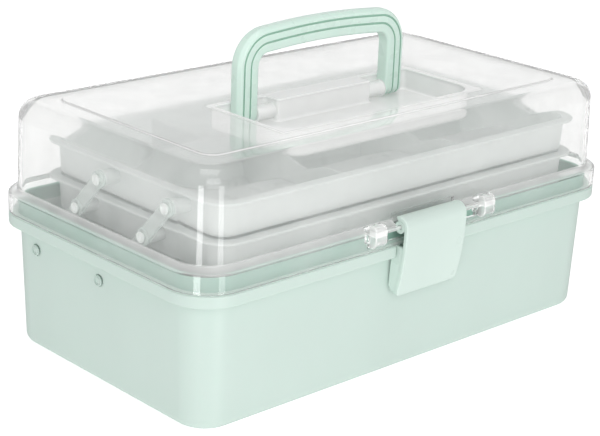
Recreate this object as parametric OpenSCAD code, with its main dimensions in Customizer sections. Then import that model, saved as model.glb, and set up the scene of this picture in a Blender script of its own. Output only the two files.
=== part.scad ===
// Sewing box with a clear hinged lid, a folding carry handle, a front latch
// and two trays on swing arms. Millimetres, +Z up, the front faces -Y.
// The origin is on the resting surface, under the middle of the tub.

/* [Box] */
// Length over the rim flange
box_length = 330; // [322:1:340]
// Depth over the rim flange, front to back
box_depth = 188; // [186:1:196]
// Corner radius of the rim flange
rim_radius = 25; // [23:0.5:27]
// Height of the tub to the top of its flange
base_height = 79.5; // [77:0.5:82]
// Height of the lid's top panel above the resting surface
top_height = 145.6; // [144:0.2:150]
// Draft of the tub walls between flange and floor
base_draft = 2.6; // [1.5:0.1:3.5]
// Wall thickness of the tub
base_wall = 2.4; // [2:0.1:2.8]
// Rounding under the tub
base_foot_radius = 5; // [4:0.5:6]

/* [Rim] */
// Overhang of the flange beyond the tub wall
flange_overhang = 6; // [5:0.5:7]
// Height of the flange's outer face
flange_height = 7; // [6:0.5:8]
// Height of the lip that stands inside the lid skirt
lip_height = 8.5; // [6:0.5:9]

/* [Lid] */
// Wall thickness of the lid
lid_wall = 2.2; // [1.8:0.1:2.4]
// Height of the skirt up to the shoulder
skirt_height = 13.7; // [13:0.1:15]
// Inset of the lid wall from the skirt
shoulder_inset = 4.9; // [4.5:0.1:5.5]
// Inward lean of the lid wall up to the crown
lid_draft = 1.3; // [0.5:0.1:2]
// Rounding between lid wall and top
crown_radius = 14; // [12:0.5:16]
// Inset of the raised top panel from the skirt
panel_inset = 26.5; // [25:0.5:28]
// Height of the step around the top panel
panel_step = 0.8; // [0.4:0.1:1.2]

/* [Handle] */
// Width over the handle's legs
handle_width = 131.6; // [126:0.2:136]
// Width of the handle's grip face
grip_width = 14.4; // [13:0.2:16]
// Thickness of the handle, front to back
grip_thickness = 9; // [8:0.5:9.5]
// Reach of the handle from its pivot to the top of the grip
handle_reach = 52; // [50:0.5:53]
// Outer radius of the handle's two corners
handle_corner = 22; // [18:1:24]

/* [Latch] */
// Width of the latch plate
latch_width = 48.6; // [44:0.2:50]
// Thickness of the latch plate
latch_plate = 2.8; // [2.4:0.1:3.2]
// Height of the latch below its pivot
latch_drop = 43.5; // [40:0.5:46]

/* [Trays] */
// Length over a tray's rim
tray_length = 289; // [284:1:291]
// Depth over a tray's rim
tray_depth = 157; // [154:1:158]
// Height of a tray
tray_height = 20.8; // [19:0.2:21]
// Height from one tray to the next
tray_pitch = 21.3; // [21.3:0.1:22]
// Width of a tray's rim
tray_rim = 4.8; // [4:0.2:5.4]
// Wall thickness of the trays
tray_wall = 1.6; // [1.4:0.1:2]

/* [Swing arms] */
// Spacing of the two arms at one end of the box
arm_spacing = 59; // [55:1:61]
// Thickness of an arm
arm_thickness = 2.5; // [2:0.1:2.8]
// Radius of the arm pins
arm_pin_radius = 2; // [1.6:0.1:2.2]

/* [Hidden] */

// Colours
mint = [0.80, 0.90, 0.85];
mint_deep = [0.74, 0.88, 0.81];
clear = [0.86, 0.90, 0.91, 0.45];
frosted = [0.88, 0.91, 0.90, 0.8];
arm_pale = [0.86, 0.91, 0.89, 0.9];
pin_white = [0.90, 0.92, 0.91];
steel = [0.72, 0.73, 0.74];

// General
corner_steps = 8;
overlap = 0.5;
thin = 0.01;
cut = 1;
smallest_radius = 5;
fixed_fit = 0.02;
running_fit = 0.08;
loose_fit = 0.3;

// Tub
flange_bottom = base_height - flange_height;
wall_radius = rim_radius - flange_overhang + 2;
lip_top = base_height + lip_height;
base_boss_radius = 4.5;
inner_foot_radius = 1.5;

// Lid
skirt_bottom = base_height + 0.5;
shoulder_top = skirt_bottom + skirt_height;
shoulder_height = 2.4;
crown_top = top_height - panel_step;
crown_bottom = crown_top - crown_radius;
lid_radius = rim_radius - shoulder_inset + 1;
crown_steps = 4;
panel_radius = 9.4;

// Rear hinge
hinge_y = box_depth / 2 + 5.2;
hinge_z = skirt_bottom;
hinge_x = 95;
knuckle_radius = 4.5;
hinge_pin_radius = 1.5;
base_knuckle_length = 18;
lid_knuckle_length = 9;
knuckle_gap = 0.4;
web_height = 3.8;
web_gap = 0.3;

// Handle, its pivot and its well in the lid
pivot_y = -1.1;
pivot_z = top_height - 7.6;
well_floor = top_height - 13.2;
well_half_length = handle_width / 2 + 10.7;
well_back = pivot_y + grip_thickness / 2 + 0.7;
well_front = pivot_y - handle_reach - 2.2;
bridge_front = -6.7;
bridge_half_length = 37.5;
well_radius = 16;
handle_inner = handle_width / 2 - grip_width;
handle_pin_inner = bridge_half_length + 1;
handle_boss_radius = 5.2;
handle_pin_radius = 2;
handle_inner_bend = 4;
arch_radius = 500;
arch_steps = 8;
groove_width = 1.1;
groove_depth = 0.9;

// Latch
latch_y = -box_depth / 2 - 0.5;
latch_z = base_height + 11;
latch_barrel_radius = 3.6;
latch_outer_radius = 6.4;
latch_pin_radius = 1.5;
latch_tip_angle = 48;
window_half_length = 39.5;
ear_length = 9;
latch_pin_half = window_half_length + ear_length - 1.5;
window_bottom = skirt_bottom + 4;
latch_side_gap = 1;
latch_bow_radius = 150;
latch_web = 3;
latch_face_y = latch_y - latch_outer_radius;
cheek_thickness = 2.2;
cheek_top = flange_bottom - 2.2;
cheek_wall_gap = 1.2;
latch_bottom = latch_z - latch_drop;
latch_foot = latch_bottom + 2;

// Trays
tray_radius = 15;
tray_y = -box_depth / 2 + 10.8 + tray_depth / 2;
tray_draft = 1.2;
lower_tray_z = base_height + 2;
upper_tray_z = lower_tray_z + tray_pitch;
rim_thickness = 1.8;
tray_pin_height = 13;
tray_boss_radius = 4.6;
divider_inset = tray_rim + tray_draft + 0.3;
divider_drop = 2.5;
divider_split = 47;

// Arms: in the closed box they lean forward from the tub to both trays
arm_y = -1;
arm_z = 62;
arm_lean = 30;
arm_inner = tray_length / 2 + 5;
arm_outer = arm_inner + arm_thickness;
arm_eye_radius = 5;
arm_half_width = 4;
lower_rise = lower_tray_z + tray_pin_height - arm_z;
upper_rise = lower_rise + tray_pitch;
upper_lean = arm_lean * upper_rise / lower_rise;
pin_head_radius = 3.1;
pin_head_height = 1.2;
head_lift = 0.15;
side_gap = 0.3;
tray_pin_start = tray_length / 2 - 1.5;

// ---------- shared shapes ----------

// Points of a rounded rectangle, going round once
function rounded_points(length, depth, radius) = [
    for (corner = [0:3], step = [0:corner_steps])
        let (angle = 90 * corner + 90 * step / corner_steps,
             x_side = (corner == 0 || corner == 3) ? 1 : -1,
             y_side = corner < 2 ? 1 : -1)
        [x_side * (length / 2 - radius) + radius * cos(angle),
         y_side * (depth / 2 - radius) + radius * sin(angle)]
];

module rounded_slab(length, depth, radius, bottom, top) {
    translate([0, 0, bottom])
        linear_extrude(top - bottom)
            polygon(rounded_points(length, depth, radius));
}

// A slab of the box outline, moved in from the flange by inset
module outline_slab(inset, radius, bottom, top) {
    rounded_slab(box_length - 2 * inset, box_depth - 2 * inset, radius, bottom, top);
}

// A cylinder along X from one x to another
module x_cylinder(radius, from_x, to_x, y, z) {
    translate([from_x, y, z])
        rotate([0, 90, 0])
            cylinder(r = radius, h = to_x - from_x, $fn = 48);
}

// A box given by its two corners
module box_between(low, high) {
    translate(low) cube(high - low);
}

// ---------- tub ----------

function base_inset(z) = flange_overhang + base_draft * (1 - z / flange_bottom);

// Solid of the tub's outside, or of its inside when moved in by the wall
module tub_solid(shrink, floor_z, top) {
    foot = max(base_foot_radius - shrink, inner_foot_radius);
    hull() {
        for (step = [0:3]) {
            angle = 90 * step / 3;
            z = floor_z + foot * (1 - cos(angle));
            inset = base_inset(z) + shrink + foot * (1 - sin(angle));
            outline_slab(inset, wall_radius - inset + flange_overhang, z, z + thin);
        }
        outline_slab(flange_overhang + shrink, wall_radius - shrink, top - thin, top);
    }
}

module base_knuckles() {
    half = base_knuckle_length / 2;
    for (side = [-1, 1]) {
        x_cylinder(knuckle_radius, side * hinge_x - half, side * hinge_x + half, hinge_y, hinge_z);
        box_between([side * hinge_x - half, box_depth / 2 - overlap, base_height - web_gap - web_height],
                    [side * hinge_x + half, hinge_y, base_height - web_gap]);
    }
}

// Bosses that hold the arm pins away from the end walls
module base_arm_bosses() {
    for (side = [-1, 1], station = [0, 1]) {
        inner_x = arm_outer + side_gap;
        outer_x = box_length / 2 - flange_overhang - base_wall / 2;
        x_cylinder(base_boss_radius, side > 0 ? inner_x : -outer_x, side > 0 ? outer_x : -inner_x,
                   arm_y + station * arm_spacing, arm_z);
    }
}

module base_tub() {
    notch_half = latch_width / 2 + latch_side_gap;
    keeper_y = -box_depth / 2 + flange_overhang;
    color(mint)
    difference() {
        union() {
            tub_solid(0, 0, flange_bottom + overlap);
            outline_slab(0, rim_radius, flange_bottom, base_height);
            outline_slab(flange_overhang, wall_radius, base_height - overlap, lip_top);
            base_knuckles();
        }
        difference() {
            union() {
                tub_solid(base_wall, base_wall, flange_bottom);
                outline_slab(flange_overhang + base_wall, wall_radius - base_wall,
                             flange_bottom - overlap, lip_top + cut);
            }
            base_arm_bosses();
        }
        // Notch in the flange that the latch hooks into
        box_between([-notch_half, -box_depth / 2 - cut, flange_bottom - cut],
                    [notch_half, keeper_y, base_height + thin]);
        for (side = [-1, 1]) {
            x_cylinder(hinge_pin_radius + fixed_fit, side * hinge_x - base_knuckle_length,
                       side * hinge_x + base_knuckle_length, hinge_y, hinge_z);
            for (station = [0, 1])
                x_cylinder(arm_pin_radius + fixed_fit, side > 0 ? arm_inner : -box_length / 2,
                           side > 0 ? box_length / 2 : -arm_inner, arm_y + station * arm_spacing, arm_z);
        }
    }
}

// ---------- lid ----------

// Solid of the lid above the shoulder, or of its inside
module dome_solid(shrink, bottom) {
    top_inset = shoulder_inset + lid_draft;
    crown = crown_radius - shrink;
    hull() {
        outline_slab(shoulder_inset + shrink, lid_radius - shrink, bottom, bottom + thin);
        for (step = [0:crown_steps]) {
            angle = 90 * step / crown_steps;
            inset = top_inset + shrink + crown * (1 - cos(angle));
            z = crown_bottom + crown * sin(angle);
            outline_slab(inset, max(lid_radius - inset + shoulder_inset, smallest_radius), z - thin, z);
        }
    }
}

// Solid of the skirt with its sloped shoulder, or of its inside
module skirt_solid(shrink, bottom) {
    slope_start = shoulder_top - shoulder_height - shrink / 2;
    hull() {
        outline_slab(shrink, rim_radius - shrink, bottom, slope_start);
        outline_slab(shoulder_inset + shrink, lid_radius - shrink,
                     shoulder_top - shrink - thin, shoulder_top - shrink);
    }
}

// Plan of the handle well: a wide front part and two channels for the legs
module well_plan(grow) {
    depth = bridge_front - well_front;
    translate([0, (bridge_front + well_front) / 2])
        difference() {
            polygon(rounded_points(2 * (well_half_length + grow), depth + 2 * grow + 2 * well_radius,
                                   well_radius + grow));
            translate([0, depth / 2 + grow + well_radius])
                square([4 * well_half_length, 2 * well_radius], center = true);
        }
    for (side = [-1, 1]) {
        inner = bridge_half_length - grow;
        outer = well_half_length + grow;
        translate([side > 0 ? inner : -outer, bridge_front - 2 * well_radius])
            square([outer - inner, well_back + grow - bridge_front + 2 * well_radius]);
    }
}

module handle_bosses() {
    for (side = [-1, 1]) {
        near = bridge_half_length - overlap;
        far = handle_inner - side_gap;
        x_cylinder(handle_boss_radius, side > 0 ? near : -far, side > 0 ? far : -near, pivot_y, pivot_z);
    }
}

// Ears on the skirt that carry the latch pin
module latch_ears() {
    for (side = [-1, 1]) {
        low_x = side > 0 ? window_half_length : -window_half_length - ear_length;
        x_cylinder(latch_outer_radius, low_x, low_x + ear_length, latch_y, latch_z);
        box_between([low_x, latch_y, latch_z - latch_outer_radius],
                    [low_x + ear_length, -box_depth / 2 + lid_wall, latch_z + latch_outer_radius - 2]);
    }
}

module lid_knuckles() {
    for (side = [-1, 1], end = [-1, 1]) {
        centre = side * hinge_x
            + end * (base_knuckle_length / 2 + knuckle_gap + lid_knuckle_length / 2);
        low = centre - lid_knuckle_length / 2;
        high = centre + lid_knuckle_length / 2;
        x_cylinder(knuckle_radius, low, high, hinge_y, hinge_z);
        box_between([low, box_depth / 2 - overlap, hinge_z + web_gap],
                    [high, hinge_y, hinge_z + web_gap + web_height]);
    }
}

module lid_shell() {
    pocket_half = latch_width / 2 + latch_side_gap;
    pocket_back = latch_y + latch_outer_radius + 0.5;
    color(clear)
    difference() {
        union() {
            difference() {
                union() {
                    dome_solid(0, shoulder_top - overlap);
                    skirt_solid(0, skirt_bottom);
                    rounded_slab(box_length - 2 * panel_inset, box_depth - 2 * panel_inset, panel_radius,
                                 crown_top - overlap, top_height);
                }
                dome_solid(lid_wall, shoulder_top - lid_wall - overlap);
                skirt_solid(lid_wall, skirt_bottom - cut);
            }
            translate([0, 0, well_floor - lid_wall])
                linear_extrude(top_height - well_floor + lid_wall - overlap)
                    well_plan(lid_wall);
            latch_ears();
            lid_knuckles();
        }
        difference() {
            translate([0, 0, well_floor])
                linear_extrude(top_height)
                    well_plan(0);
            handle_bosses();
        }
        // Window in the skirt between the ears, and the latch's own pocket
        box_between([-window_half_length, -box_depth / 2 - cut, window_bottom],
                    [window_half_length, -box_depth / 2 + lid_wall + cut,
                     shoulder_top - shoulder_height - cut]);
        box_between([-pocket_half, latch_y - 2 * latch_outer_radius, window_bottom],
                    [pocket_half, pocket_back, latch_z + latch_outer_radius + 0.6]);
        x_cylinder(latch_pin_radius + fixed_fit, -latch_pin_half, latch_pin_half, latch_y, latch_z);
        for (side = [-1, 1]) {
            x_cylinder(hinge_pin_radius + running_fit, side * hinge_x - 2 * base_knuckle_length,
                       side * hinge_x + 2 * base_knuckle_length, hinge_y, hinge_z);
            x_cylinder(handle_pin_radius + fixed_fit, side > 0 ? handle_pin_inner : -handle_inner,
                       side > 0 ? handle_inner : -handle_pin_inner, pivot_y, pivot_z);
        }
    }
}

// ---------- handle ----------

// Outline of the handle's front face, moved in by inset from its outer edge
function handle_points(inset) =
    let (half = handle_width / 2 - inset,
         radius = max(handle_corner - inset, handle_inner_bend),
         top = handle_reach - inset,
         arch_drop = arch_radius - sqrt(arch_radius * arch_radius - pow(half - radius, 2)),
         arch_angle = asin((half - radius) / arch_radius))
    concat(
        [[half, 0]],
        [for (step = [0:corner_steps])
            let (angle = (90 - arch_angle) * step / corner_steps)
            [half - radius + radius * cos(angle), top - arch_drop - radius + radius * sin(angle)]],
        [for (step = [1:arch_steps - 1])
            let (angle = 90 - arch_angle + 2 * arch_angle * step / arch_steps)
            [arch_radius * cos(angle), top - arch_radius + arch_radius * sin(angle)]],
        [for (step = [0:corner_steps])
            let (angle = 90 + arch_angle + (90 - arch_angle) * step / corner_steps)
            [-half + radius + radius * cos(angle), top - arch_drop - radius + radius * sin(angle)]],
        [[-half, 0]]
    );

// A bow between two insets, standing on the pivot height
module handle_bow(outer_inset, inner_inset, front_y, back_y) {
    translate([0, back_y, pivot_z])
        rotate([90, 0, 0])
            linear_extrude(back_y - front_y)
                difference() {
                    polygon(handle_points(outer_inset));
                    translate([0, -thin]) polygon(handle_points(inner_inset));
                }
}

module handle() {
    front_y = pivot_y - grip_thickness / 2;
    back_y = pivot_y + grip_thickness / 2;
    groove_pitch = grip_width / 3;
    color(mint_deep)
    difference() {
        union() {
            handle_bow(0, grip_width, front_y, back_y);
            for (side = [-1, 1])
                x_cylinder(grip_thickness / 2, side > 0 ? handle_inner : -handle_width / 2,
                           side > 0 ? handle_width / 2 : -handle_inner, pivot_y, pivot_z);
        }
        for (line = [1, 2])
            handle_bow(line * groove_pitch - groove_width / 2, line * groove_pitch + groove_width / 2,
                       front_y - cut, front_y + groove_depth);
        for (side = [-1, 1])
            x_cylinder(handle_pin_radius + running_fit, side * handle_width / 2 - grip_width - cut,
                       side * handle_width / 2 + grip_width + cut, pivot_y, pivot_z);
    }
}

// ---------- latch ----------

function on_circle(y, z, radius, angle) = [y - radius * sin(angle), z + radius * cos(angle)];

// Side view of the plate: a rounded top round the pivot, then a bowed drop
function latch_skin(inset) =
    let (radius = latch_outer_radius - inset)
    concat(
        [for (step = [0:8])
            on_circle(latch_y, latch_z, radius, -latch_tip_angle + (latch_tip_angle + 80) * step / 8)],
        [for (step = [0:6])
            let (drop = 4 + (latch_drop - 10) * step / 6)
            [latch_y - radius + drop * drop / (2 * latch_bow_radius), latch_z - drop]],
        [[latch_y - radius + pow(latch_drop - 6, 2) / (2 * latch_bow_radius) + 1 + inset / 2,
          latch_foot + inset / 2]]
    );

function reversed(points) = [for (i = [len(points) - 1:-1:0]) points[i]];

// A side-view polygon stretched along X
module side_extrude(from_x, to_x) {
    translate([from_x, 0, 0])
        rotate([90, 0, 90])
            linear_extrude(to_x - from_x)
                children();
}

module latch() {
    half = latch_width / 2;
    wall_y = -box_depth / 2 + flange_overhang - cheek_wall_gap;
    color(mint)
    difference() {
        union() {
            side_extrude(-half, half)
                polygon(concat(latch_skin(0), reversed(latch_skin(latch_plate))));
            for (side = [-1, 1])
                side_extrude(side > 0 ? half - cheek_thickness : -half,
                             side > 0 ? half : -half + cheek_thickness)
                    polygon([
                        [latch_face_y + 2, cheek_top],
                        [wall_y, cheek_top],
                        [wall_y + 1, latch_foot + 4],
                        [wall_y - 1, latch_foot],
                        [latch_face_y + 6.2, latch_foot]
                    ]);
            x_cylinder(latch_barrel_radius, -half, half, latch_y, latch_z);
            side_extrude(-half, half)
                polygon([
                    [latch_face_y + latch_plate / 2, latch_z - latch_web / 2],
                    [latch_face_y + latch_plate / 2, latch_z + latch_web / 2],
                    [latch_y, latch_z + latch_web / 2],
                    [latch_y, latch_z - latch_web / 2]
                ]);
            // Floor that joins the plate and the cheeks at the bottom
            box_between([-half, latch_face_y + 6, latch_foot],
                        [half, wall_y - 1, latch_foot + 2]);
        }
        x_cylinder(latch_pin_radius + running_fit, -half - cut, half + cut, latch_y, latch_z);
    }
}

// ---------- trays ----------

module tray_body(shrink, bottom, top) {
    inset = tray_rim + shrink;
    hull() {
        rounded_slab(tray_length - 2 * (inset + tray_draft), tray_depth - 2 * (inset + tray_draft),
                     tray_radius - inset, bottom, bottom + thin);
        rounded_slab(tray_length - 2 * inset, tray_depth - 2 * inset,
                     tray_radius - inset + tray_draft, top - thin, top);
    }
}

// Bosses on a tray's ends that carry the arm pins
module tray_bosses(lean) {
    for (side = [-1, 1], station = [0, 1]) {
        near = tray_length / 2 - tray_rim - 1;
        far = arm_inner - side_gap;
        x_cylinder(tray_boss_radius, side > 0 ? near : -far, side > 0 ? far : -near,
                   arm_y - lean + station * arm_spacing - tray_y, tray_pin_height);
    }
}

// A tray with its floor at z = 0 and centred on the origin
module tray(lean, cross_walls, long_walls) {
    half = tray_length / 2 - divider_inset;
    wall_height = tray_height - divider_drop;
    difference() {
        union() {
            difference() {
                union() {
                    tray_body(0, 0, tray_height - rim_thickness / 2);
                    rounded_slab(tray_length, tray_depth, tray_radius,
                                 tray_height - rim_thickness, tray_height);
                }
                tray_body(tray_wall, tray_wall, tray_height + cut);
            }
            for (y = long_walls)
                box_between([-half, y - tray_wall / 2, tray_wall / 2],
                            [half, y + tray_wall / 2, wall_height]);
            for (wall = cross_walls)
                box_between([wall[0] - tray_wall / 2, wall[1], tray_wall / 2],
                            [wall[0] + tray_wall / 2, wall[2], wall_height]);
            tray_bosses(lean);
        }
        for (side = [-1, 1], station = [0, 1])
            x_cylinder(arm_pin_radius + fixed_fit, side > 0 ? tray_pin_start - overlap : -arm_outer,
                       side > 0 ? arm_outer : overlap - tray_pin_start,
                       arm_y - lean + station * arm_spacing - tray_y, tray_pin_height);
    }
}

module lower_tray() {
    reach = tray_depth / 2 - divider_inset;
    color(frosted)
    translate([0, tray_y, lower_tray_z])
        tray(arm_lean,
             [for (x = [-divider_split, divider_split]) [x, -reach, 0]],
             [0]);
}

module upper_tray() {
    reach = tray_depth / 2 - divider_inset;
    split = 18;
    rear_pitch = 70;
    color(frosted)
    translate([0, tray_y, upper_tray_z])
        tray(upper_lean,
             concat([for (x = [-divider_split, divider_split]) [x, -reach, split]],
                    [for (x = [-rear_pitch, 0, rear_pitch]) [x, split, reach]]),
             [split]);
}

// ---------- arms and pins ----------

// A flat bar with three eyes; side is -1 at the left end, station is 0 for the front arm
module arm(side, station, tray_fit) {
    low_x = side > 0 ? arm_inner : -arm_outer;
    base_y = arm_y + station * arm_spacing;
    length = sqrt(upper_lean * upper_lean + upper_rise * upper_rise);
    lower_share = lower_rise / upper_rise;
    side_extrude(low_x, low_x + arm_thickness)
        translate([base_y, arm_z])
            rotate(atan(upper_lean / upper_rise))
                difference() {
                    union() {
                        for (share = [0, lower_share, 1])
                            translate([0, share * length])
                                circle(r = arm_eye_radius, $fn = 48);
                        translate([-arm_half_width, -cut])
                            square([2 * arm_half_width, length + 2 * cut]);
                    }
                    circle(r = arm_pin_radius + running_fit, $fn = 48);
                    for (share = [lower_share, 1])
                        translate([0, share * length])
                            circle(r = arm_pin_radius + tray_fit, $fn = 48);
                }
}

module arm_left_front() { color(arm_pale) arm(-1, 0, running_fit); }
module arm_left_rear() { color(arm_pale) arm(-1, 1, loose_fit); }
module arm_right_front() { color(arm_pale) arm(1, 0, running_fit); }
module arm_right_rear() { color(arm_pale) arm(1, 1, loose_fit); }

// A headed pin along X; the heads lie outside the span
module headed_pin(radius, from_x, to_x, y, z, low_head, high_head) {
    x_cylinder(radius, from_x, to_x, y, z);
    if (low_head)
        x_cylinder(pin_head_radius, from_x - pin_head_height, from_x, y, z);
    if (high_head)
        x_cylinder(pin_head_radius, to_x, to_x + pin_head_height, y, z);
}

module base_arm_pins(side) {
    inner = arm_inner - side_gap;
    outer = box_length / 2 - base_inset(arm_z) + head_lift;
    for (station = [0, 1])
        headed_pin(arm_pin_radius, side > 0 ? inner : -outer, side > 0 ? outer : -inner,
                   arm_y + station * arm_spacing, arm_z, true, true);
}

module tray_pins(side, lean, z) {
    outer = arm_outer + side_gap;
    for (station = [0, 1])
        headed_pin(arm_pin_radius, side > 0 ? tray_pin_start : -outer,
                   side > 0 ? outer : -tray_pin_start,
                   arm_y - lean + station * arm_spacing, z, side < 0, side > 0);
}

module base_arm_pins_left() { color(mint) base_arm_pins(-1); }
module base_arm_pins_right() { color(mint) base_arm_pins(1); }
module lower_tray_pins_left() { color(pin_white) tray_pins(-1, arm_lean, lower_tray_z + tray_pin_height); }
module lower_tray_pins_right() { color(pin_white) tray_pins(1, arm_lean, lower_tray_z + tray_pin_height); }
module upper_tray_pins_left() { color(pin_white) tray_pins(-1, upper_lean, upper_tray_z + tray_pin_height); }
module upper_tray_pins_right() { color(pin_white) tray_pins(1, upper_lean, upper_tray_z + tray_pin_height); }

module hinge_pin(side) {
    half = base_knuckle_length / 2 + knuckle_gap + lid_knuckle_length;
    x_cylinder(hinge_pin_radius, side * hinge_x - half, side * hinge_x + half, hinge_y, hinge_z);
}

module hinge_pin_left() { color(steel) hinge_pin(-1); }
module hinge_pin_right() { color(steel) hinge_pin(1); }

module handle_pin(side) {
    outer = handle_width / 2 - 1;
    x_cylinder(handle_pin_radius, side > 0 ? handle_pin_inner : -outer,
               side > 0 ? outer : -handle_pin_inner, pivot_y, pivot_z);
}

module handle_pin_left() { color(pin_white) handle_pin(-1); }
module handle_pin_right() { color(pin_white) handle_pin(1); }

module latch_pin() {
    color(clear)
    x_cylinder(latch_pin_radius, -latch_pin_half, latch_pin_half, latch_y, latch_z);
}

base_tub();
lid_shell();
handle();
latch();
lower_tray();
upper_tray();
arm_left_front();
arm_left_rear();
arm_right_front();
arm_right_rear();
base_arm_pins_left();
base_arm_pins_right();
lower_tray_pins_left();
lower_tray_pins_right();
upper_tray_pins_left();
upper_tray_pins_right();
hinge_pin_left();
hinge_pin_right();
handle_pin_left();
handle_pin_right();
latch_pin();
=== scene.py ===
"""Sewing box with trays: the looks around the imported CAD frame, in metres in the same frame.

Sizes are in millimetres here and turn into metres as the meshes are made. An inset is a distance
inwards from the outline of the tub's rim flange, or of a tray's rim, seen from above."""

import math

import bmesh
import bpy
from mathutils import Matrix, Vector


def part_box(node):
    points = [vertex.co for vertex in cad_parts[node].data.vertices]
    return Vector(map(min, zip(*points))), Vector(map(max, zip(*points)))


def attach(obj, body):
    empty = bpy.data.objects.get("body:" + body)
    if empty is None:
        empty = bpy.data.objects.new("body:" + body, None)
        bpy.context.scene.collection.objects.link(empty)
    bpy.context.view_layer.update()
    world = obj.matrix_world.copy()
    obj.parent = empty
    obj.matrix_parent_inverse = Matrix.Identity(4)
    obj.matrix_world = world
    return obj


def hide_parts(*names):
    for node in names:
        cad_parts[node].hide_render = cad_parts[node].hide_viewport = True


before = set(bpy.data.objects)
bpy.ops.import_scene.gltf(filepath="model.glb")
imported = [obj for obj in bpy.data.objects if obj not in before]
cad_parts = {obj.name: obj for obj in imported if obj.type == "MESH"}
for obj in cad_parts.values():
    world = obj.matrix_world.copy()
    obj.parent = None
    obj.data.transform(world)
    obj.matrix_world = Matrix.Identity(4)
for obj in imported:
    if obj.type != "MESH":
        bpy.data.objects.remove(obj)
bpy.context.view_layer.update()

MM = 0.001
scene = bpy.context.scene

# ---------------------------------------------------------------- sizes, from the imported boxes, in mm


def box_mm(node):
    low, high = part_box(node)
    return low / MM, high / MM


def middle_yz(low, high):
    return (low.y + high.y) / 2, (low.z + high.z) / 2


EYE_RADIUS, ARM_HALF_WIDTH = 5.0, 4.0
PIN_RADIUS, HEAD_RADIUS, HEAD_HEIGHT = 2.0, 3.1, 1.2
PIN_HELD = 2.02                          # radius of a bore that holds an arm's or the handle's pin
SMALL_HELD, SMALL_TURNING = 1.52, 1.58   # bores of the hinge and latch pins


def pin_line(node):
    """How far back each pin of a pair stands."""
    low, high = box_mm(node)
    return (low.y + HEAD_RADIUS, high.y - HEAD_RADIUS)


tub_high = box_mm("base_tub")[1]
lid_high = box_mm("lid_shell")[1]
tray_low, tray_high = box_mm("lower_tray")
upper_low, upper_high = box_mm("upper_tray")
handle_low, handle_high = box_mm("handle")
latch_low, latch_high = box_mm("latch")
hinge_low, hinge_high = box_mm("hinge_pin_right")
latch_pin_low, latch_pin_high = box_mm("latch_pin")
arm_pin_low, arm_pin_high = box_mm("base_arm_pins_right")

HALF_X, HALF_Y = tub_high.x, 94.0        # rim flange
CORNER = 25.0                            # radius of the rim flange's corners
FLANGE_BOTTOM, FLANGE_TOP, LIP_TOP = 72.5, 79.5, tub_high.z
LIP_INSET, WALL = 6.0, 2.4
SKIRT_BOTTOM, SHOULDER = 80.0, 93.7
LID_WALL = 2.2
TOP = lid_high.z
CROWN_TOP = TOP - 0.8
SHOULDER_INSET, CROWN_INSET, PANEL_INSET = 4.9, 6.2, 26.5
WELL_FLOOR = TOP - 13.2
PIVOT_Y, PIVOT_Z = middle_yz(*box_mm("handle_pin_right"))
HINGE_Y, HINGE_Z = middle_yz(hinge_low, hinge_high)
HINGE_X = (hinge_low.x + hinge_high.x) / 2
LATCH_Y, LATCH_Z = middle_yz(latch_pin_low, latch_pin_high)
LATCH_BOTTOM = latch_low.z
ARM_PIN_Y = pin_line("base_arm_pins_right")
ARM_PIN_Z = middle_yz(arm_pin_low, arm_pin_high)[1]
TRAY_HALF, TRAY_Y = (144.5, 78.5), -4.7
TRAY_INSIDE = (TRAY_HALF[0] - 6.9, TRAY_HALF[1] - 6.9)
TRAY_PIN_UP = 13.0                       # a tray's pins over its underside

# ---------------------------------------------------------------- mesh helpers


def rounded_path(corners, steps=5, closed=False):
    """(u, v, radius) corners joined by straight lines, each corner rounded by an arc.
    Gives (point, normal) pairs, with the normal to the right of the way along."""
    n = len(corners)
    found = []
    for i, (u, v, radius) in enumerate(corners):
        here = Vector((u, v))
        before = Vector(corners[i - 1][:2]) if closed or i > 0 else None
        after = Vector(corners[(i + 1) % n][:2]) if closed or i < n - 1 else None
        if before is None or after is None:
            way = (here - before if after is None else after - here).normalized()
            found.append((here, Vector((way.y, -way.x))))
            continue
        a, b = (here - before).normalized(), (after - here).normalized()
        turn = math.atan2(a.x * b.y - a.y * b.x, a.dot(b))
        if abs(turn) < 1e-4:
            found.append((here, Vector((a.y, -a.x))))
            continue
        half_turn = abs(turn) / 2
        reach = min(radius * math.tan(half_turn), 0.495 * (here - before).length,
                    0.495 * (after - here).length)
        if radius <= 0 or reach <= 0:
            way = (a + b).normalized()
            found.append((here, Vector((way.y, -way.x)) / math.cos(turn / 2)))
            continue
        side = 1 if turn > 0 else -1
        start = here - a * reach
        centre = start + Vector((-a.y, a.x)) * side * (reach / math.tan(half_turn))
        for k in range(steps + 1):
            spoke = (start - centre).copy()
            spoke.rotate(Matrix.Rotation(turn * k / steps, 2))
            found.append((centre + spoke, spoke.normalized() * side))
    return found


def offset_path(path, distance):
    return [p + n * distance for p, n in path]


def unit(angle):
    return Vector((math.cos(angle), math.sin(angle)))


def box_ring(half_x, half_y, radius, z, centre_y=0.0, steps=9, long_parts=12, short_parts=8):
    """One closed ring of a rounded rectangle, the same number of points whatever its size."""
    points = []
    straight_x, straight_y = half_x - radius, half_y - radius
    corners = [Vector((cx * straight_x, cy * straight_y))
               for cx, cy in ((1, 1), (-1, 1), (-1, -1), (1, -1))]
    for turn, corner in enumerate(corners):
        for k in range(steps + 1):
            points.append(corner + unit(math.radians(90 * turn + 90 * k / steps)) * radius)
        parts = long_parts if turn in (0, 2) else short_parts
        push = unit(math.radians(90 * turn + 90)) * radius
        for k in range(1, parts):
            points.append(corner.lerp(corners[(turn + 1) % 4], k / parts) + push)
    return [Vector((p.x, p.y + centre_y, z)) for p in points]


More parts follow.
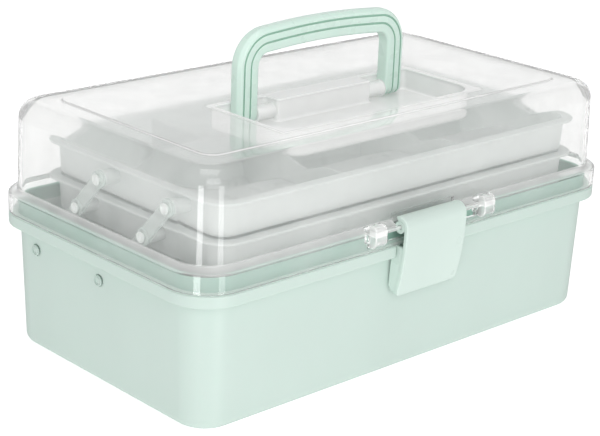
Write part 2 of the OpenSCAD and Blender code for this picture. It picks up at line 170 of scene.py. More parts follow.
def new_object(name, bm):
    bmesh.ops.recalc_face_normals(bm, faces=bm.faces)
    if bm.calc_volume(signed=True) < 0:
        bmesh.ops.reverse_faces(bm, faces=bm.faces)
    mesh = bpy.data.meshes.new(name)
    bm.to_mesh(mesh)
    bm.free()
    obj = bpy.data.objects.new(name, mesh)
    scene.collection.objects.link(obj)
    return obj


def add_rings(bm, rings):
    rows = [[bm.verts.new(p * MM) for p in ring] for ring in rings]
    for a, b in zip(rows, rows[1:]):
        for i in range(len(a)):
            j = (i + 1) % len(a)
            bm.faces.new((a[i], a[j], b[j], b[i]))
    return rows


def loft(name, rings):
    """Closed skin through the rings, with a flat face at each end."""
    bm = bmesh.new()
    rows = add_rings(bm, rings)
    bm.faces.new(rows[0][::-1])
    bm.faces.new(rows[-1])
    return new_object(name, bm)


def fill_between(bm, outer, inner):
    """Flat face between a closed ring of vertices and a hole's ring in the same plane."""
    edges = []
    for ring in (outer, inner):
        for i, v in enumerate(ring):
            ends = (v, ring[(i + 1) % len(ring)])
            edges.append(bm.edges.get(ends) or bm.edges.new(ends))
    bmesh.ops.triangle_fill(bm, use_beauty=True, use_dissolve=False, edges=edges)


def both_rims(low, high, steps):
    """(end, base, angle) rows: round the low end's rim from 0 to 90 degrees, then back round the
    high end's."""
    angles = [math.radians(90 * k / steps) for k in range(steps + 1)]
    return [(-1, low, a) for a in angles] + [(1, high, a) for a in angles[::-1]]


def side_solid(name, outline, from_x, to_x, edge):
    """A side view, as a rounded_path in (y, z), drawn out along X, with rims rounded by edge."""
    rings = []
    for end, base, a in both_rims(from_x, to_x, 3):
        x = base - end * edge * (1 - math.sin(a))
        rings.append([Vector((x, p.x, p.y)) for p in offset_path(outline, -edge * (1 - math.cos(a)))])
    return loft(name, rings if edge else [rings[0], rings[-1]])


def rod(name, radius, from_x, to_x, y, z, edge=0.4, steps=40):
    spokes = [unit(2 * math.pi * k / steps) for k in range(steps)]
    outline = [(Vector((y, z)) + spoke * radius, spoke) for spoke in spokes]
    return side_solid(name, outline, from_x, to_x, edge)


def slab(name, low, high, radius, edge):
    """A box with rounded upright corners. A shallow groove, edge wide, runs along the rims of its top
    and bottom."""
    low, high = Vector(low), Vector(high)
    centre = (low + high) / 2
    half = (high - low) / 2
    rings = []
    for end, z, a in both_rims(low.z, high.z, 2):
        inset = edge * (1 - math.sin(a))
        ring = box_ring(half.x - inset, half.y - inset, max(radius - inset, 0.05),
                        z - end * inset if a else z, steps=4, long_parts=2, short_parts=2)
        rings.append([p + Vector((centre.x, centre.y, 0)) for p in ring])
    return loft(name, rings if edge else [rings[0], rings[-1]])


def combine(obj, tools, operation):
    """Unites the tools with obj, or cuts them out of it, and removes the tools."""
    for tool in tools:
        m = obj.modifiers.new("combine", "BOOLEAN")
        m.operation = operation
        m.solver = "MANIFOLD"
        m.object = tool
        dg = bpy.context.evaluated_depsgraph_get()
        mesh = bpy.data.meshes.new_from_object(obj.evaluated_get(dg))
        obj.modifiers.clear()
        old, tool_mesh = obj.data, tool.data
        obj.data = mesh
        bpy.data.meshes.remove(old)
        bpy.data.objects.remove(tool)
        bpy.data.meshes.remove(tool_mesh)
    return obj


def finish_piece(obj, body, material, node, angle=34):
    """Smooth shading with the flat faces kept flat, the material, and what the frame has to know."""
    mesh = obj.data
    mesh.polygons.foreach_set("use_smooth", [True] * len(mesh.polygons))
    mesh.set_sharp_from_angle(angle=math.radians(angle))
    obj.modifiers.new("flat faces stay flat", "WEIGHTED_NORMAL").keep_sharp = True
    mesh.materials.clear()
    mesh.materials.append(material)
    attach(obj, body)
    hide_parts(node)


def on_side(side, near, far):
    """The stretch of X between two distances from the middle, on the left (-1) or the right (1)."""
    return sorted((side * near, side * far))


# ---------------------------------------------------------------- materials


def scaled(colour, share):
    return tuple(min(c * share, 1.0) for c in colour)


class Tree:
    """A material's node tree, with short ways to add and join nodes."""

    def __init__(self, name):
        self.material = bpy.data.materials.new(name)
        self.material.use_nodes = True
        self.nodes, self.links = self.material.node_tree.nodes, self.material.node_tree.links
        self.shader = self.nodes["Principled BSDF"]
        self.place = self.nodes.new("ShaderNodeTexCoord").outputs["Object"]

    def add(self, kind, values, **settings):
        node = self.nodes.new(kind)
        for key, value in settings.items():
            setattr(node, key, value)
        for key, value in values.items():
            if isinstance(value, bpy.types.NodeSocket):
                self.links.new(value, node.inputs[key])
            else:
                node.inputs[key].default_value = value
        return node

    def set(self, **values):
        for key, value in values.items():
            self.shader.inputs[key.replace("_", " ")].default_value = value

    def feed(self, socket, value):
        self.links.new(value, self.shader.inputs[socket])

    def noise(self, scale, detail=3.0, stretch=None):
        place = self.place
        if stretch:
            place = self.add("ShaderNodeMapping", {"Vector": place, "Scale": stretch}).outputs["Vector"]
        node = self.add("ShaderNodeTexNoise", {"Vector": place, "Scale": scale, "Detail": detail})
        return node.outputs["Fac"]

    def maths(self, operation, a, b, **settings):
        return self.add("ShaderNodeMath", {0: a, 1: b}, operation=operation, **settings).outputs[0]

    def ramp(self, value, start, end, low, high):
        """low up to start and high from end on, with a straight line between."""
        return self.add("ShaderNodeMapRange", {"Value": value, "From Min": start, "From Max": end,
                                               "To Min": low, "To Max": high}).outputs["Result"]

    def between(self, noise, low, high):
        """The middle of a noise's range, spread over low to high."""
        return self.ramp(noise, 0.3, 0.7, low, high)

    def band(self, axis, low, high, soft, amount):
        """A value that is 0 outside low to high along an axis, in mm, and amount inside, with soft ends."""
        along = self.add("ShaderNodeSeparateXYZ", {"Vector": self.place}).outputs[axis]
        rise = self.ramp(along, low * MM, (low + soft) * MM, 0.0, amount)
        fall = self.ramp(along, (high - soft) * MM, high * MM, 1.0, 0.0)
        return self.maths("MULTIPLY", rise, fall)

    def mixed(self, factor, a, b, blend_type="MIX"):
        return self.add("ShaderNodeMix", {"Factor": factor, "A": a, "B": b}, data_type="RGBA",
                        blend_type=blend_type).outputs["Result"]

    def colours(self, noise, dark, light):
        return self.mixed(self.between(noise, 0.0, 1.0), (*dark, 1), (*light, 1))

    def bump(self, height, strength, distance):
        """Normals of a skin whose height varies by distance, in metres."""
        node = self.add("ShaderNodeBump", {"Height": height, "Strength": strength, "Distance": distance})
        return node.outputs["Normal"]

    def transparent(self, colour):
        return self.add("ShaderNodeBsdfTransparent", {"Color": (*colour, 1)}).outputs[0]

    def shaders(self, factor, a, b):
        return self.add("ShaderNodeMixShader", {0: factor, 1: a, 2: b}).outputs[0]

    def show(self, shader):
        self.links.new(shader, self.nodes["Material Output"].inputs["Surface"])


def moulded(name, colour, roughness, grain, translucency, glow=(0.6, 1.0, 0.8), painted_shade=None):
    """Injection-moulded polypropylene: faint flow clouding, a fine skin and uneven gloss.
    The last argument is (axis, low, high, soft, amount, colour): a band whose colour is multiplied darker,
    painted shade."""
    t = Tree(name)
    skin = t.colours(t.noise(14.0, 4.0, (1.0, 1.0, 0.45)), scaled(colour, 0.975), scaled(colour, 1.02))
    if painted_shade:
        # multiplying by the band's colour darkens it: painted shade
        skin = t.mixed(t.band(*painted_shade[:5]), skin, (*painted_shade[5], 1), "MULTIPLY")
    t.feed("Base Color", skin)
    t.feed("Roughness", t.between(t.noise(60.0, 5.0), roughness - 0.04, roughness + 0.06))
    t.feed("Normal", t.bump(t.noise(1800.0, 2.0), 0.12 * grain, 0.00008))
    t.set(IOR=1.49, Subsurface_Weight=translucency, Subsurface_Radius=glow, Subsurface_Scale=0.004)
    return t.material


def clear_plastic(name, tint, roughness, haze, whiter, milky):
    """Clear moulded plastic: a faint tint and haze, nearly polished, with slow waves in the skin.
    whiter lists (axis, low, high, soft, amount) bands where thick or bent plastic scatters more, and
    milky the bands that together bound a region that does.
    Lamp light, and light from matt surfaces, pass straight through as through thin clear plastic."""
    t = Tree(name)
    t.feed("Base Color", t.colours(t.noise(9.0, 2.0), scaled(tint, 0.992), scaled(tint, 1.004)))
    t.feed("Roughness", t.between(t.noise(35.0, 5.0), roughness * 0.5, roughness * 1.6))
    t.feed("Normal", t.bump(t.noise(20.0, 1.5), 0.12, 0.0004))
    t.set(IOR=1.47)
    scatter = t.between(t.noise(50.0, 2.0), haze * 0.7, haze * 1.3)
    for row in whiter:
        scatter = t.maths("ADD", scatter, t.band(*row))
    region = t.band(*milky[0])
    for row in milky[1:]:
        region = t.maths("MULTIPLY", region, t.band(*row))
    scatter = t.maths("ADD", scatter, region)
    t.feed("Transmission Weight", t.maths("SUBTRACT", 1.0, scatter, use_clamp=True))
    ray = t.add("ShaderNodeLightPath", {}).outputs
    straight = t.maths("MAXIMUM", ray["Is Shadow Ray"], ray["Is Diffuse Ray"])
    t.show(t.shaders(straight, t.shader.outputs[0], t.transparent(scaled(tint, 0.99))))
    return t.material


def frosted_plastic(name, colour, roughness, solid, shine_through=0.35):
    """Milky translucent polypropylene: a matt skin that light behind it brightens, and that shows
    shapes behind. solid is how much of each skin hides what is behind it."""
    t = Tree(name)
    skin = t.colours(t.noise(22.0, 3.0), scaled(colour, 0.985), scaled(colour, 1.01))
    t.feed("Base Color", skin)
    t.feed("Roughness", t.between(t.noise(90.0, 4.0), roughness - 0.04, roughness + 0.05))
    t.feed("Normal", t.bump(t.noise(900.0, 2.0), 0.1, 0.00006))
    t.set(IOR=1.40)
    behind = t.add("ShaderNodeBsdfTranslucent", {"Color": skin}).outputs[0]
    matt = t.shaders(shine_through, t.shader.outputs[0], behind)
    cover = t.between(t.noise(15.0, 2.0), solid - 0.02, solid + 0.02)
    t.show(t.shaders(cover, t.transparent(scaled(colour, 1.05)), matt))
    return t.material


def brushed_steel(name):
    t = Tree(name)
    lines = t.noise(400.0, 3.0, (0.05, 1.0, 1.0))
    t.feed("Base Color", t.colours(lines, (0.50, 0.51, 0.52), (0.62, 0.63, 0.64)))
    t.feed("Roughness", t.between(lines, 0.25, 0.4))
    t.feed("Normal", t.bump(lines, 0.1, 0.00005))
    t.set(Metallic=1.0)
    return t.material


# the second colour is painted shade for the tub's lip, drawn darker as if in the shade of the closed lid's
# skirt
MINT_TUB, LIP_PAINTED_SHADE = (0.605, 0.722, 0.668), (0.48, 0.66, 0.60)
MINT_HANDLE = (0.705, 0.880, 0.795)
MINT_LATCH = (0.660, 0.775, 0.720)
X, Y, Z = 0, 1, 2
# the band over the lip is painted shade: the lip drawn darker where the closed lid's skirt shades it
tub_plastic = moulded("mint_tub", MINT_TUB, 0.32, 1.0, 0.08,
                      painted_shade=(Z, FLANGE_TOP, LIP_TOP + 2, 0.3, 1.0, LIP_PAINTED_SHADE))
handle_plastic = moulded("mint_handle", MINT_HANDLE, 0.28, 0.7, 0.12)
# a darker mint for the handle's grooves: painted shade in the grooves
groove_painted_shade = moulded("mint_groove_painted_shade", (0.36, 0.58, 0.47), 0.4, 0.7, 0.0)
latch_plastic = moulded("mint_latch", MINT_LATCH, 0.30, 1.0, 0.0)
pin_plastic = moulded("pin_plastic", (0.86, 0.90, 0.88), 0.35, 1.0, 0.2, (1.0, 1.0, 1.0))
lid_plastic = clear_plastic(
    "clear_lid", (0.985, 0.985, 0.982), 0.05, 0.10,
    whiter=[(Z, 90.6, 94.4, 0.6, 0.25), (Z, TOP - 0.80, TOP - 0.04, 0.05, 0.60),
            (Y, -110.0, -94.6, 0.8, 0.25)],
    milky=[(X, -80.0, 80.0, 1.0, 0.70), (Y, -58.5, 8.0, 1.0, 1.0), (Z, 128.0, TOP + 1, 0.5, 1.0)])
tray_plastic = frosted_plastic("frosted_tray", (0.88, 0.905, 0.895), 0.30, 0.74, 0.30)
arm_plastic = frosted_plastic("pale_arm", (0.92, 0.945, 0.935), 0.25, 0.32)
pin_steel = brushed_steel("steel_pin")

# ---------------------------------------------------------------- tub


def tub_radius(inset):
    """Corner radius at an inset: from the lip inwards 2 mm more than an even offset of the flange has."""
    return max(CORNER - inset + 2.0 * min(inset / LIP_INSET, 1.0), 3.0)


def ring_at(inset, z, radius, half=(HALF_X, HALF_Y), centre_y=0.0):
    return box_ring(half[0] - inset, half[1] - inset, radius, z, centre_y)


def knuckle(name, low_x, high_x, web_low):
    """A hinge eye with its web to the box; web_low is the web's underside over the hinge's line."""
    web_low, web_high = HINGE_Z + web_low, HINGE_Z + web_low + 3.8
    return [rod(name, 4.49, low_x, high_x, HINGE_Y, HINGE_Z),
            slab(name + "_web", (low_x + 0.2, HALF_Y - 0.8, web_low),
                 (high_x - 0.2, HINGE_Y, web_high), 0.2, 0.2)]


tub_profile = [
    (32.0, 0.9, 0), (21.6, 0.9, 0.5), (20.6, 0.0, 0.5), (8.6, 0.0, 5.0), (LIP_INSET, FLANGE_BOTTOM, 1.0),
    (0.0, FLANGE_BOTTOM, 1.1), (0.0, FLANGE_TOP, 1.0), (LIP_INSET, FLANGE_TOP, 0.8),
    (LIP_INSET, LIP_TOP, 0.9), (LIP_INSET + WALL, LIP_TOP, 0.9), (LIP_INSET + WALL, FLANGE_BOTTOM, 2.0),
    (8.5 + WALL, WALL, 3.5), (32.0, WALL, 0),
]
tub = loft("tub_shell", [ring_at(p.x, p.y, tub_radius(p.x)) for p, n in rounded_path(tub_profile)])

parts, holes = [], []
head_x = arm_pin_high.x - 1.35           # a flat seat for the pins' heads in the drafted end wall
for side in (-1, 1):
    parts += knuckle("tub_knuckle", side * HINGE_X - 9, side * HINGE_X + 9, -4.6)
    holes.append(rod("hinge_bore", SMALL_HELD, side * HINGE_X - 12, side * HINGE_X + 12,
                     HINGE_Y, HINGE_Z, 0))
    for y in ARM_PIN_Y:
        parts.append(rod("arm_boss", 4.5, *on_side(side, 152.3, HALF_X - 7.2), y, ARM_PIN_Z))
        holes.append(rod("arm_bore", PIN_HELD, *on_side(side, 145, 170), y, ARM_PIN_Z, 0))
        recess = on_side(side, head_x - 0.6, head_x + 6)
        holes.append(rod("pin_recess", 3.6, *recess, y, ARM_PIN_Z, 0))
notch = latch_high.x + 1
holes.append(slab("latch_notch", (-notch, -HALF_Y - 5, FLANGE_BOTTOM - 2),
                  (notch, -HALF_Y + LIP_INSET, FLANGE_TOP + 5), 1.0, 0))
combine(tub, parts, "UNION")
combine(tub, holes, "DIFFERENCE")
finish_piece(tub, "tub", tub_plastic, "base_tub")

# ---------------------------------------------------------------- lid


def lid_radius(inset):
    """Corner radius at an inset: of the skirt and shoulder, then the crown, then the raised panel."""
    if inset < SHOULDER_INSET:
        return CORNER - inset + max(0.0, (inset - 2.4) / 2.5)
    if inset < 20.2:
        return CORNER + 1.0 - inset
    return 5.8 + 3.6 * min((inset - 20.2) / 6.1, 1.0) - max(inset - PANEL_INSET, 0.0)


def well_rings(grow, top, floor, rim, foot):
    """Rings of the handle well from its rim down to its floor; grow is the offset outwards."""
    rings = []
    for k in range(5):
        a = math.radians(90 * k / 4)
        rings.append((grow + rim * (1 - math.sin(a)), top - rim * (1 - math.cos(a))))
    for k in range(6):
        a = math.radians(90 * k / 5)
        rings.append((grow - foot * (1 - math.cos(a)), floor + foot * (1 - math.sin(a))))
    return [[Vector((p.x, p.y, z)) for p in offset_path(well_path, out)] for out, z in rings]


outer_profile = [
    (28.0, TOP, 0), (26.6, TOP, 0.5), (26.1, CROWN_TOP, 0.5), (CROWN_INSET, CROWN_TOP, 14.0),
    (SHOULDER_INSET, SHOULDER, 1.0), (0.0, SHOULDER - 2.4, 1.6), (0.0, SKIRT_BOTTOM, 0.5),
]
inner_profile = [
    (LID_WALL, SKIRT_BOTTOM, 0.5), (LID_WALL, SHOULDER - 3.5, 1.2),
    (SHOULDER_INSET + LID_WALL, SHOULDER - LID_WALL, 1.2),
    (CROWN_INSET + LID_WALL, CROWN_TOP - LID_WALL, 11.8), (28.0, CROWN_TOP - LID_WALL, 0),
]
well_path = rounded_path([
    (-76.5, -55.3, 16), (76.5, -55.3, 16), (76.5, 4.1, 3.0), (37.5, 4.1, 2.0), (37.5, -6.7, 2.0),
    (-37.5, -6.7, 2.0), (-37.5, 4.1, 2.0), (-76.5, 4.1, 3.0),
], 8, closed=True)

bm = bmesh.new()
skin = add_rings(bm, [ring_at(p.x, p.y, lid_radius(p.x))
                      for p, n in rounded_path(outer_profile + inner_profile, 7)])
upper = add_rings(bm, well_rings(0.0, TOP, WELL_FLOOR, 0.7, 1.6))
under = add_rings(bm, well_rings(LID_WALL, CROWN_TOP - LID_WALL, WELL_FLOOR - LID_WALL, 0.8, 1.9))
fill_between(bm, skin[0], upper[0])
fill_between(bm, skin[-1], under[0])
bm.faces.new(upper[-1])
bm.faces.new(under[-1])
lid = new_object("lid", bm)

EAR_BACK, EAR_FRONT = -90.5, -100.88
ear = rounded_path([(-93.0, 84.1, 0.5), (EAR_FRONT, 84.1, 6.2), (EAR_FRONT, 96.9, 6.2), (-94.0, 96.9, 2.5),
                    (EAR_BACK, 94.9, 1.0), (EAR_BACK, 86.0, 0.5)][::-1], 7, closed=True)
EAR_INNER, EAR_OUTER = 39.5, 48.5
parts, holes = [], []
for side in (-1, 1):
    boss = on_side(side, 36.6, handle_high.x - 14.7)
    parts.append(rod("handle_boss", 5.2, *boss, PIVOT_Y, PIVOT_Z, 0.6))
    holes.append(rod("handle_bore", PIN_HELD, *on_side(side, 38.5, 53), PIVOT_Y, PIVOT_Z, 0))
    parts.append(side_solid("latch_ear", ear, *on_side(side, EAR_INNER, EAR_OUTER), 0.6))
    for end in (-1, 1):
        middle = side * HINGE_X + end * 13.9
        parts += knuckle("lid_knuckle", middle - 4.5, middle + 4.5, 0.3)
    holes.append(rod("hinge_bore", SMALL_TURNING, side * HINGE_X - 30, side * HINGE_X + 30,
                     HINGE_Y, HINGE_Z, 0))
window = (SKIRT_BOTTOM + 4.0, SHOULDER - 3.4)
holes.append(slab("skirt_window", (-EAR_INNER, -HALF_Y - 3, window[0]),
                  (EAR_INNER, -HALF_Y + LID_WALL + 0.8, window[1]), 0.3, 0))
holes.append(slab("latch_pocket", (-notch, -HALF_Y - 10, window[0]),
                  (notch, LATCH_Y + 6.9, LATCH_Z + 7.0), 1.2, 0))
holes.append(rod("latch_bore", SMALL_HELD, latch_pin_low.x, latch_pin_high.x, LATCH_Y, LATCH_Z, 0))
combine(lid, parts, "UNION")
combine(lid, holes, "DIFFERENCE")
finish_piece(lid, "lid", lid_plastic, "lid_shell")

# ---------------------------------------------------------------- handle

BOW_HALF, BOW_TOP = handle_high.x, handle_high.z - PIVOT_Z
GRIP, DEPTH = 14.4, handle_high.y - handle_low.y     # the bar's width in the bow's plane, and across it
BOW_CORNER, ARCH = 22.0, 500.0                       # outer radii of the bow's corners and its top
FOOT = 4.5                                           # the legs' round ends reach below the pivot
GROOVES = (-1.3, 3.5)                    # middles of the two grooves, outwards from the bow's middle line


def handle_path():
    """Middle line of the bow in its own plane, with the outward direction at each point."""
    middle = BOW_HALF - GRIP / 2
    radius = BOW_CORNER - GRIP / 2
    arch_half = math.asin((BOW_HALF - BOW_CORNER) / ARCH)
    arch_drop = ARCH - math.sqrt(ARCH * ARCH - (BOW_HALF - BOW_CORNER) ** 2)
    top = BOW_TOP - GRIP / 2 - arch_drop - radius
    leg = [(Vector((middle, -FOOT + (top + FOOT) * k / 12)), Vector((1, 0))) for k in range(12)]
    for k in range(13):
        spoke = unit((math.pi / 2 - arch_half) * k / 12)
        leg.append((Vector((middle - radius, top)) + spoke * radius, spoke))
    arch = []
    for k in range(1, 16):
        spoke = unit(math.pi / 2 - arch_half + 2 * arch_half * k / 16)
        arch.append((Vector((0, BOW_TOP - ARCH)) + spoke * (ARCH - GRIP / 2), spoke))
    return leg + arch + [(Vector((-p.x, p.y)), Vector((-n.x, n.y))) for p, n in leg[::-1]]


def handle_section():
    """Cross-section: x outwards, y to the back. Two grooves run along the front, and the outer edge
    is rounder than the others."""
    half, front, back = GRIP / 2, -DEPTH / 2, DEPTH / 2
    outline = [(half, back, 2.6), (-half, back, 1.8), (-half, front, 1.6)]
    for at in GROOVES:
        outline += [(at - 0.62, front, 0.3), (at - 0.42, front + 0.9, 0.25),
                    (at + 0.42, front + 0.9, 0.25), (at + 0.62, front, 0.3)]
    outline += [(half - 1.6, front + 0.35, 1.6), (half, front + 2.6, 1.9)]
    return [p for p, n in rounded_path(outline, 4, closed=True)]


section = handle_section()
rings = []
for point, out in handle_path():
    below = min(point.y, 0.0)
    squeeze = max(math.sqrt(max(1 - (below / FOOT) ** 2, 0.0)), 0.25)
    rings.append([Vector((point.x + out.x * s.x, PIVOT_Y + s.y * squeeze, PIVOT_Z + point.y + out.y * s.x))
                  for s in section])
handle = loft("handle_bow", rings)
finish_piece(handle, "handle", handle_plastic, "handle", angle=40)
# the groove faces take the darker mint, painted shade
handle.data.materials.append(groove_painted_shade)
groove_sides = []
for i, (p, after) in enumerate(zip(section, section[1:] + section[:1])):
    if p.y < -DEPTH / 2 + 1.0 and any(abs((p.x + after.x) / 2 - at) < 0.58 for at in GROOVES):
        groove_sides.append(i)
for k in range(len(rings) - 1):
    for i in groove_sides:
        handle.data.polygons[k * len(section) + i].material_index = 1

# ---------------------------------------------------------------- latch

R_LATCH = 6.38                           # of the plate's curled top, round the pin


def latch_line():
    """Side view of the plate's outer face in (y, z), from the curled top down, and the lengths along it."""
    points = []
    for k in range(25):
        a = math.radians(-48 + 128 * k / 24)
        points.append(Vector((LATCH_Y - R_LATCH * math.sin(a), LATCH_Z + R_LATCH * math.cos(a))))
    for k in range(19):
        drop = 4 + 33.5 * k / 18
        points.append(Vector((LATCH_Y - R_LATCH + drop * drop / 300, LATCH_Z - drop)))
    last = points[-1]
    points += [last + Vector((0.45, -1.6)), last + Vector((1.2, -3.0)), last + Vector((2.4, -4.0))]
    lengths = [0.0]
    for a, b in zip(points, points[1:]):
        lengths.append(lengths[-1] + (b - a).length)
    return points, lengths


line, line_lengths = latch_line()
LINE = line_lengths[-1]


def line_way(k):
    """Direction of the latch's line at its point k."""
    k = min(max(k, 1), len(line) - 2)
    return (line[k + 1] - line[k - 1]).normalized()


def on_latch(s, out):
    """Point at a distance s down the plate's line and out from it."""
    s = min(max(s, 0.0), LINE)
    i = next((k for k in range(len(line) - 1) if line_lengths[k + 1] >= s), len(line) - 2)
    part = (s - line_lengths[i]) / (line_lengths[i + 1] - line_lengths[i])
    way = line_way(i).lerp(line_way(i + 1), part).normalized()
    return line[i].lerp(line[i + 1], part) + Vector((way.y, -way.x)) * out


def plate_rows(half, length, radius, inset):
    """(x, s) down the right-hand side of a rounded plate."""
    h, r = half - inset, max(radius - inset, 0.2)
    turns = [math.radians(90 * k / 6) for k in range(7)]
    rows = [(h - r + r * math.sin(a), inset + r - r * math.cos(a)) for a in turns]
    rows += [(h, inset + r + (length - 2 * inset - 2 * r) * k / 40) for k in range(1, 40)]
    return rows + [(h - r + r * math.cos(a), length - inset - r + r * math.sin(a)) for a in turns]


def latch_plate():
    """The curved plate, with rounded corners and rims, closed by strips across its two faces."""
    thick, edge, corner = 2.8, 0.8, 4.0
    rings = []
    for end, base, a in both_rims(0.0, -thick, 3):
        inset = edge * (1 - math.sin(a))
        out = base + end * edge * (1 - math.cos(a))
        right = [(x, on_latch(s, out)) for x, s in plate_rows(latch_high.x, LINE, corner, inset)]
        left = [(-x, p) for x, p in right[::-1]]
        rings.append([Vector((x, p.x, p.y)) for x, p in right + left])
    bm = bmesh.new()
    rows = add_rings(bm, rings)
    for ring in (rows[0], rows[-1]):
        n = len(ring) // 2
        for i in range(n - 1):
            bm.faces.new((ring[i], ring[i + 1], ring[2 * n - 2 - i], ring[2 * n - 1 - i]))
    return new_object("latch_plate", bm)


latch = latch_plate()
LATCH_HALF = latch_high.x
wall_y = -HALF_Y + 4.8                   # how near the tub's wall the cheeks reach
cheek = rounded_path([
    (-98.8, FLANGE_TOP - 0.2, 0.6), (wall_y - 0.4, FLANGE_TOP - 0.2, 0.8), (wall_y, 70.3, 0.8),
    (wall_y + 1, LATCH_BOTTOM + 6, 1.0), (wall_y - 1, LATCH_BOTTOM + 2.2, 1.0),
    (-95.2, LATCH_BOTTOM + 2.2, 1.0),
][::-1], 4, closed=True)
parts = [rod("latch_barrel", 3.6, -LATCH_HALF + 0.1, LATCH_HALF - 0.1, LATCH_Y, LATCH_Z)]
for side in (-1, 1):
    ends = on_side(side, LATCH_HALF - 0.15, LATCH_HALF - 2.35)
    parts.append(side_solid("latch_cheek", cheek, *ends, 0.5))
parts.append(slab("latch_web", (-LATCH_HALF + 0.6, -99.6, LATCH_Z - 1.5),
                  (LATCH_HALF - 0.6, LATCH_Y, LATCH_Z + 1.5), 0.3, 0.3))
parts.append(slab("latch_floor", (-LATCH_HALF + 0.6, -94.6, LATCH_BOTTOM + 2.1),
                  (LATCH_HALF - 0.6, wall_y - 1.1, LATCH_BOTTOM + 4.1), 0.5, 0.4))
combine(latch, parts, "UNION")
combine(latch, [rod("latch_bore", SMALL_TURNING, -30, 30, LATCH_Y, LATCH_Z, 0)], "DIFFERENCE")
finish_piece(latch, "latch", latch_plastic, "latch")

# ---------------------------------------------------------------- trays


def tray_radius(inset):
    return max(15.0 - inset + 1.2 * min(inset / 4.8, 1.0), 3.0)


def make_tray(name, low, high, cross_walls, long_wall, pin_ys):
    """A tray with a rim, one wall along it and (x, from_y, to_y) cross walls, places from its middle."""
    base, height = low.z, high.z - low.z
    profile = [
        (30.0, 0.0, 0), (6.0, 0.0, 2.6), (4.8, height - 1.8, 0.5), (0.0, height - 1.8, 0.6),
        (0.0, height, 0.8), (6.4, height, 0.7), (7.6, 1.6, 2.6), (30.0, 1.6, 0),
    ]
    tray = loft(name, [ring_at(p.x, base + p.y, tray_radius(p.x), TRAY_HALF, TRAY_Y)
                       for p, n in rounded_path(profile, 4)])
    half_wall, foot, tops = 0.8, base + 0.8, base + height - 2.5
    walls = [slab("divider", (-TRAY_INSIDE[0], TRAY_Y + long_wall - half_wall, foot),
                  (TRAY_INSIDE[0], TRAY_Y + long_wall + half_wall, tops), 0.1, 0.35)]
    for x, from_y, to_y in cross_walls:
        # the further out a cross wall stands, the lower its top
        walls.append(slab("divider", (x - half_wall, TRAY_Y + from_y, foot),
                          (x + half_wall, TRAY_Y + to_y, tops - 0.02 * abs(x)), 0.1, 0.35))
    holes = []
    for side in (-1, 1):
        for y in pin_ys:
            walls.append(rod("pin_boss", 4.6, *on_side(side, 138.6, 149.2), y, base + TRAY_PIN_UP))
            holes.append(rod("pin_bore", PIN_HELD, *on_side(side, 142.6, 152), y, base + TRAY_PIN_UP, 0))
    combine(tray, walls, "UNION")
    combine(tray, holes, "DIFFERENCE")
    return tray


lower_pins, upper_pins = pin_line("lower_tray_pins_right"), pin_line("upper_tray_pins_right")
reach, upper_wall = TRAY_INSIDE[1], 18
lower = make_tray("tray_lower", tray_low, tray_high, [(x, -reach, 0) for x in (-47, 47)], 0, lower_pins)
finish_piece(lower, "lower_tray", tray_plastic, "lower_tray")
cross_walls = [(x, -reach, upper_wall) for x in (-47, 47)] + [(x, upper_wall, reach) for x in (-70, 0, 70)]
upper_tray = make_tray("tray_upper", upper_low, upper_high, cross_walls, upper_wall, upper_pins)
finish_piece(upper_tray, "upper_tray", tray_plastic, "upper_tray")

# ---------------------------------------------------------------- swing arms and pins


def make_arm(node, body, station, play):
    """A flat bar with an eye at the tub and one at each tray, its rims rounded."""
    low, high = box_mm(node)
    eyes = [Vector((ARM_PIN_Y[station], ARM_PIN_Z)),
            Vector((lower_pins[station], tray_low.z + TRAY_PIN_UP)),
            Vector((upper_pins[station], upper_low.z + TRAY_PIN_UP))]
    along = (eyes[2] - eyes[0]).normalized()
    across = Vector((along.y, -along.x)) * ARM_HALF_WIDTH
    bar = rounded_path([(p.x, p.y, 0) for p in (eyes[0] + across, eyes[2] + across,
                                                eyes[2] - across, eyes[0] - across)], closed=True)
    arm = rod(node + "_bar", EYE_RADIUS, low.x, high.x, *eyes[0], 0.5, 48)
    adds = [rod("eye", EYE_RADIUS, low.x, high.x, *eye, 0.5, 48) for eye in eyes[1:]]
    adds.append(side_solid("bar", bar, low.x, high.x, 0.4))
    combine(arm, adds, "UNION")
    bores = [rod("bore", PIN_RADIUS + more, low.x - 1, high.x + 1, *eye, 0)
             for eye, more in zip(eyes, (0.08, play, play))]
    combine(arm, bores, "DIFFERENCE")
    finish_piece(arm, body, arm_plastic, node)


def headed_pins(node, body, material, both_heads):
    """Two pins along X with domed heads: at both ends, or at the end away from the middle of the box."""
    low, high = box_mm(node)
    z = (low.z + high.z) / 2
    outer_high = low.x + high.x > 0
    pins = None
    for y in pin_line(node):
        shank = rod(node + "_pair", PIN_RADIUS, low.x + 0.1, high.x - 0.1, y, z, 0.3)
        heads = []
        if both_heads or outer_high:
            heads.append(rod("head", HEAD_RADIUS, high.x - HEAD_HEIGHT, high.x, y, z, 0.45))
        if both_heads or not outer_high:
            heads.append(rod("head", HEAD_RADIUS, low.x, low.x + HEAD_HEIGHT, y, z, 0.45))
        combine(shank, heads, "UNION")
        pins = combine(pins, [shank], "UNION") if pins else shank
    finish_piece(pins, body, material, node)


def plain_pin(node, body, material, edge):
    low, high = box_mm(node)
    pin = rod(node + "_rod", (high.z - low.z) / 2, low.x, high.x, *middle_yz(low, high), edge)
    finish_piece(pin, body, material, node)


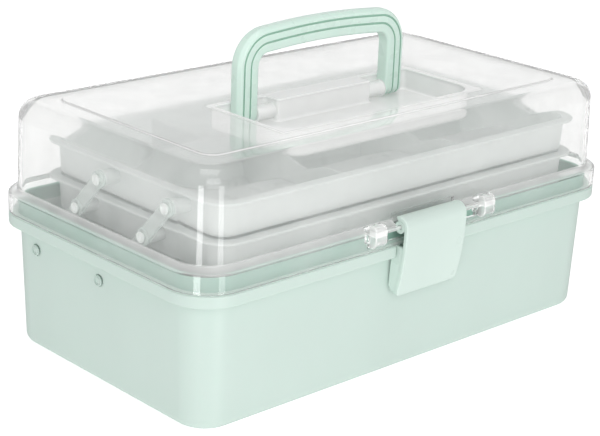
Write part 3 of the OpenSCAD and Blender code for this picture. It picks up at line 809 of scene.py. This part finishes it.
for side_name in ("left", "right"):
    make_arm("arm_%s_front" % side_name, "front_arms", 0, 0.08)
    make_arm("arm_%s_rear" % side_name, "rear_arms", 1, 0.3)
for side_name in ("left", "right"):
    headed_pins("base_arm_pins_" + side_name, "tub", tub_plastic, True)
    for tray_name in ("lower_tray", "upper_tray"):
        headed_pins("%s_pins_%s" % (tray_name, side_name), tray_name, pin_plastic, False)
for side_name in ("left", "right"):
    plain_pin("hinge_pin_" + side_name, "tub", pin_steel, 0.3)
    plain_pin("handle_pin_" + side_name, "lid", pin_plastic, 0.4)
plain_pin("latch_pin", "lid", lid_plastic, 0.3)

# ---------------------------------------------------------------- floor and light, in metres and watts

bm = bmesh.new()
bmesh.ops.create_grid(bm, x_segments=1, y_segments=1, size=8.0)
floor = new_object("floor", bm)
floor.location.z = -0.0001
paint = Tree("floor_paint")
paint.feed("Base Color", paint.colours(paint.noise(2.0), (0.58, 0.58, 0.58), (0.62, 0.62, 0.62)))
paint.set(Roughness=0.9, Emission_Color=(1, 1, 1, 1), Emission_Strength=0.70)
floor.data.materials.append(paint.material)
floor.visible_glossy = False

world = bpy.data.worlds.new("studio")
world.use_nodes = True
world.node_tree.nodes["Background"].inputs["Color"].default_value = (1, 1, 1, 1)
world.node_tree.nodes["Background"].inputs["Strength"].default_value = 0.50
scene.world = world


def softbox(name, azimuth, distance, centre_z, width, height, power, aim_z=None):
    """A soft light that looks at the object's middle line, level or at aim_z. Azimuth 0 is in front, and
    90 degrees is at its right."""
    lamp = bpy.data.lights.new(name, "AREA")
    lamp.shape = "RECTANGLE"
    lamp.size, lamp.size_y = width, height
    lamp.energy = power
    obj = bpy.data.objects.new(name, lamp)
    a = math.radians(azimuth)
    obj.location = (math.sin(a) * distance, -math.cos(a) * distance, centre_z)
    aim = Vector((0, 0, centre_z if aim_z is None else aim_z))
    obj.rotation_euler = (aim - obj.location).to_track_quat("-Z", "Y").to_euler()
    scene.collection.objects.link(obj)


CAMERA_SIDE = -43.8
softbox("light_front", CAMERA_SIDE + 12, 0.75, 0.5, 0.5, 0.5, 2.0)
# two strips, mostly below the floor's level, that the lid's upright corner mirrors
softbox("light_left", CAMERA_SIDE - 19, 1.7, -0.4, 0.45, 1.1, 13)
softbox("light_right", CAMERA_SIDE + 36, 1.7, -0.4, 0.45, 1.1, 6.5)
softbox("light_back", 136, 1.8, 0.9, 2.6, 1.0, 3.5)
softbox("light_top", CAMERA_SIDE, 0.25, 1.9, 1.2, 1.2, 7, 0.08)

# ---------------------------------------------------------------- camera, solved from the photo

PHOTO_WIDTH, FOCAL = 600, 1699.5         # in the photo's pixels
AXIS_RIGHT, AXIS_UP = 13.64, 24.76       # where the camera's axis meets the photo, from its middle
SENSOR = 36                              # in mm
camera_data = bpy.data.cameras.new("camera")
camera = bpy.data.objects.new("camera", camera_data)
scene.collection.objects.link(camera)
azimuth, elevation, roll = math.radians(-43.76), math.radians(18.43), math.radians(2.42)
distance = 1.0179
target = Vector((0, 0, 0.08))
back = Vector((math.sin(azimuth) * math.cos(elevation), -math.cos(azimuth) * math.cos(elevation),
               math.sin(elevation)))
forward = -back
right = forward.cross(Vector((0, 0, 1))).normalized()
up = right.cross(forward)
right, up = right * math.cos(roll) + up * math.sin(roll), up * math.cos(roll) - right * math.sin(roll)
camera.matrix_world = Matrix((
    (right.x, up.x, back.x, target.x + back.x * distance),
    (right.y, up.y, back.y, target.y + back.y * distance),
    (right.z, up.z, back.z, target.z + back.z * distance),
    (0, 0, 0, 1),
))
camera_data.sensor_width = SENSOR
camera_data.lens = FOCAL / PHOTO_WIDTH * SENSOR
camera_data.shift_x = -AXIS_RIGHT / PHOTO_WIDTH
camera_data.shift_y = -AXIS_UP / PHOTO_WIDTH
camera_data.clip_start, camera_data.clip_end = 0.05, 50
scene.camera = camera
scene.view_settings.view_transform = "Standard"
scene.cycles.max_bounces = 24
scene.cycles.transmission_bounces = 24
scene.cycles.transparent_max_bounces = 24
